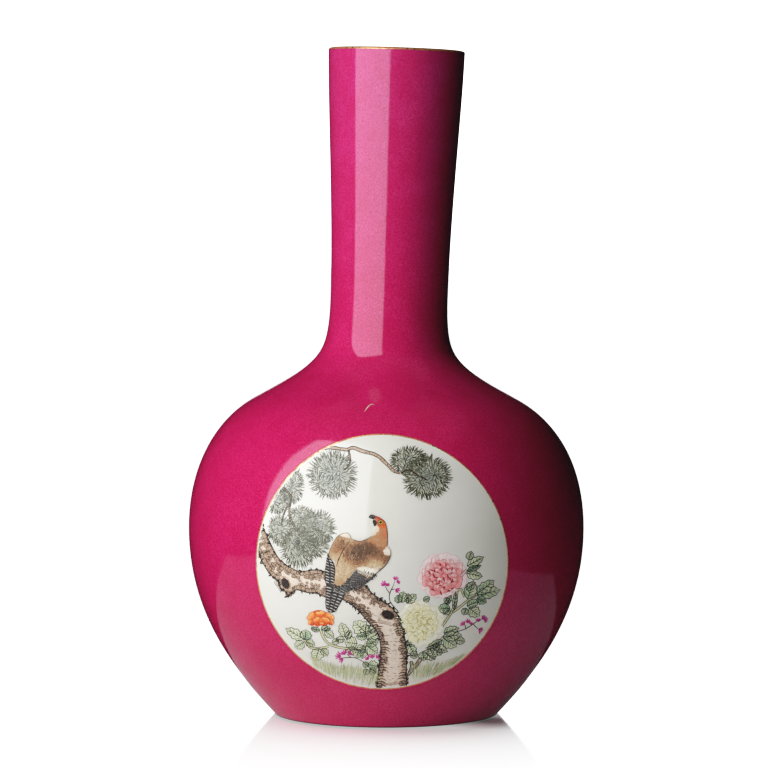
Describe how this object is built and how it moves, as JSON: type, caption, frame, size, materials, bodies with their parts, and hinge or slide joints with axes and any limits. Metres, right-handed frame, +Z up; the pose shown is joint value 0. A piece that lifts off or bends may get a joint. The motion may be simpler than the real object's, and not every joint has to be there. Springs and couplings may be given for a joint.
{
  "type": "porcelain bottle vase",
  "caption": "Tall-necked globular bottle vase in ruby enamel with a gilt lip and a round white panel painted with a hawk, pine and flowers.",
  "frame": {"origin": "on the surface the foot stands on, under the middle of the foot ring", "axes": "+Z up along the turned axis of the body, front with the round panel towards -Y, neck leaning a little towards +X"},
  "size_m": [0.2268, 0.2274, 0.3811],
  "materials": {
    "biscuit": "unglazed matt",
    "slip": "unglazed matt",
    "clear_glaze": "glossy clear glaze over white porcelain",
    "ruby_enamel": "glossy, with a fine stipple",
    "gilding": "soft gold",
    "bark_enamel": "glossy",
    "feather_enamel": "glossy",
    "pink_enamel": "glossy",
    "yellow_enamel": "glossy",
    "orange_enamel": "glossy"
  },
  "bodies": {
    "root": {"foot_ring": "biscuit", "foot_slip_seam": "slip", "lower_body": "biscuit", "belly_slip_seam": "slip", "shoulder_section": "biscuit", "neck_slip_seam": "slip", "neck": "biscuit", "body_ruby_ground": "ruby_enamel", "neck_ruby_ground": "ruby_enamel", "mouth_gilt_band": "gilding", "medallion_white_panel": "clear_glaze", "medallion_gilt_line": "gilding", "pine_bough_enamel": "bark_enamel", "pine_trunk_enamel": "bark_enamel", "hawk_enamel": "feather_enamel", "pink_peony_enamel": "pink_enamel", "yellow_peony_enamel": "yellow_enamel", "orange_flower_enamel": "orange_enamel", "neck_inner_glaze": "clear_glaze", "body_inner_glaze": "clear_glaze", "base_glaze": "clear_glaze"}
  },
  "joints": []
}
